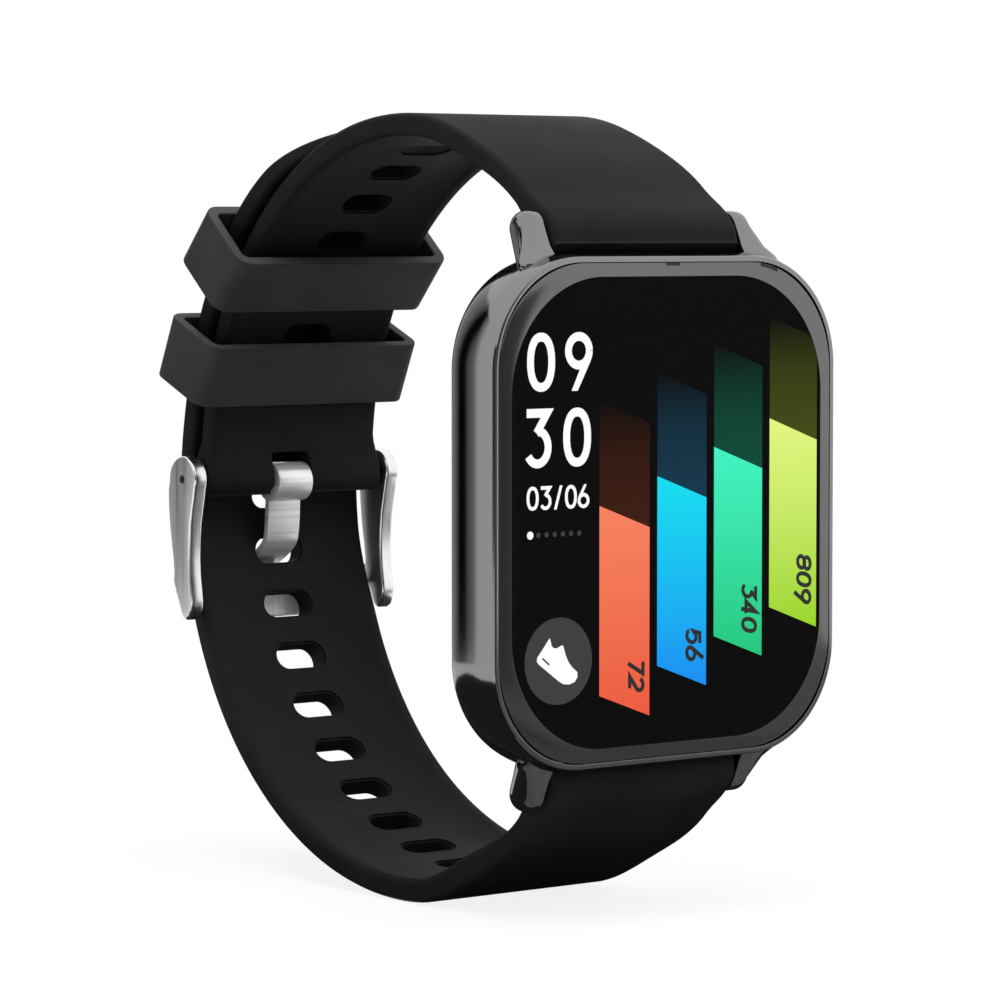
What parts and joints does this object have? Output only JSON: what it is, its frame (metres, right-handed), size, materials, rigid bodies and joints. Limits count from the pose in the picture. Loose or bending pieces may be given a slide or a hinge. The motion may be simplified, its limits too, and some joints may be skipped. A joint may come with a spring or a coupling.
{
  "type": "smartwatch",
  "caption": "Smartwatch with a rounded rectangular glass front, dark metal case with side button and lugs, and a slotted silicone strap closed by a tongue buckle and loose keepers.",
  "frame": {"origin": "middle of the sensor window's flat face on the case back, where the watch meets the wrist", "axes": "+Y out of the case back towards the wrist, +Z to the 12 o'clock side, +X to the 3 o'clock side"},
  "size_m": [0.0415, 0.0631, 0.0731],
  "materials": {
    "glass_black": "polished black cover glass",
    "display_panel": "display panel",
    "gunmetal": "polished dark gunmetal coating",
    "silicone_black": "matte black silicone",
    "steel": "brushed stainless steel",
    "plastic_black": "fine matt black plastic",
    "board_green": "circuit board",
    "cell_grey": "pouch cell foil",
    "copper_flex": "flexible circuit",
    "gold": "gold plated contact",
    "rubber": "seal rubber",
    "chip": "moulded chip package"
  },
  "bodies": {
    "case": {"cover_glass": "glass_black", "sensor_window": "glass_black", "display_module": "display_panel", "mid_frame": "gunmetal", "charge_magnet_1": "steel", "charge_magnet_2": "steel", "processor_can": "steel", "vibration_motor": "steel", "microphone": "steel", "button_switch": "steel", "upper_spring_bar": "steel", "lower_spring_bar": "steel", "back_cover": "plastic_black", "inner_frame": "plastic_black", "speaker": "plastic_black", "main_board": "board_green", "sensor_board": "board_green", "battery": "cell_grey", "battery_tab": "copper_flex", "display_flex": "copper_flex", "charge_contact_1": "gold", "charge_contact_2": "gold", "glass_gasket": "rubber", "back_gasket": "rubber", "power_chip": "chip", "radio_chip": "chip", "optical_sensor": "chip"},
    "button": {"side_button": "gunmetal"},
    "upper_band": {"upper_strap": "silicone_black"},
    "lower_band": {"lower_strap": "silicone_black"},
    "keeper_loop_1": {"keeper_1": "silicone_black"},
    "keeper_loop_2": {"keeper_2": "silicone_black"},
    "buckle": {"buckle_frame": "steel", "buckle_pin": "steel"},
    "tongue": {"buckle_tongue": "steel"},
    "upper_tip_left": {"upper_bar_tip_left": "steel"},
    "upper_tip_right": {"upper_bar_tip_right": "steel"},
    "lower_tip_left": {"lower_bar_tip_left": "steel"},
    "lower_tip_right": {"lower_bar_tip_right": "steel"}
  },
  "joints": [
    {"name": "button_press", "type": "slide", "parent": "case", "child": "button", "axis": [-1, 0, 0], "range_m": [0, 0.0005], "stiffness_N_per_m": 400},
    {"name": "upper_strap_hinge", "type": "hinge", "parent": "case", "child": "upper_band", "pos_m": [0, -0.0059, 0.0249], "axis": [1, 0, 0], "range_deg": [-0.25, 0.25], "stiffness_Nm_per_rad": 3},
    {"name": "lower_strap_hinge", "type": "hinge", "parent": "case", "child": "lower_band", "pos_m": [0, -0.0059, -0.0249], "axis": [1, 0, 0], "range_deg": [-0.25, 0.25], "stiffness_Nm_per_rad": 3},
    {"name": "keeper_1_slide", "type": "slide", "parent": "upper_band", "child": "keeper_loop_1", "axis": [0, -0.5738, 0.819], "range_m": [-0.0012, 0.0012]},
    {"name": "keeper_2_slide", "type": "slide", "parent": "upper_band", "child": "keeper_loop_2", "axis": [0, -0.2989, 0.9543], "range_m": [-0.0012, 0.0012]},
    {"name": "buckle_hinge", "type": "hinge", "parent": "upper_band", "child": "buckle", "pos_m": [0, 0.0469, 0.0006], "axis": [1, 0, 0], "range_deg": [0, 2]},
    {"name": "tongue_hinge", "type": "hinge", "parent": "upper_band", "child": "tongue", "pos_m": [0, 0.0469, 0.0006], "axis": [1, 0, 0], "range_deg": [0, 2]},
    {"name": "upper_tip_left_slide", "type": "slide", "parent": "case", "child": "upper_tip_left", "axis": [1, 0, 0], "range_m": [0, 0.0011], "stiffness_N_per_m": 300},
    {"name": "upper_tip_right_slide", "type": "slide", "parent": "case", "child": "upper_tip_right", "axis": [-1, 0, 0], "range_m": [0, 0.0011], "stiffness_N_per_m": 300},
    {"name": "lower_tip_left_slide", "type": "slide", "parent": "case", "child": "lower_tip_left", "axis": [1, 0, 0], "range_m": [0, 0.0011], "stiffness_N_per_m": 300},
    {"name": "lower_tip_right_slide", "type": "slide", "parent": "case", "child": "lower_tip_right", "axis": [-1, 0, 0], "range_m": [0, 0.0011], "stiffness_N_per_m": 300}
  ],
  "couplings": [
    {"joint": "lower_strap_hinge", "follows": "upper_strap_hinge", "ratio": 1},
    {"joint": "tongue_hinge", "follows": "buckle_hinge", "ratio": 1}
  ]
}
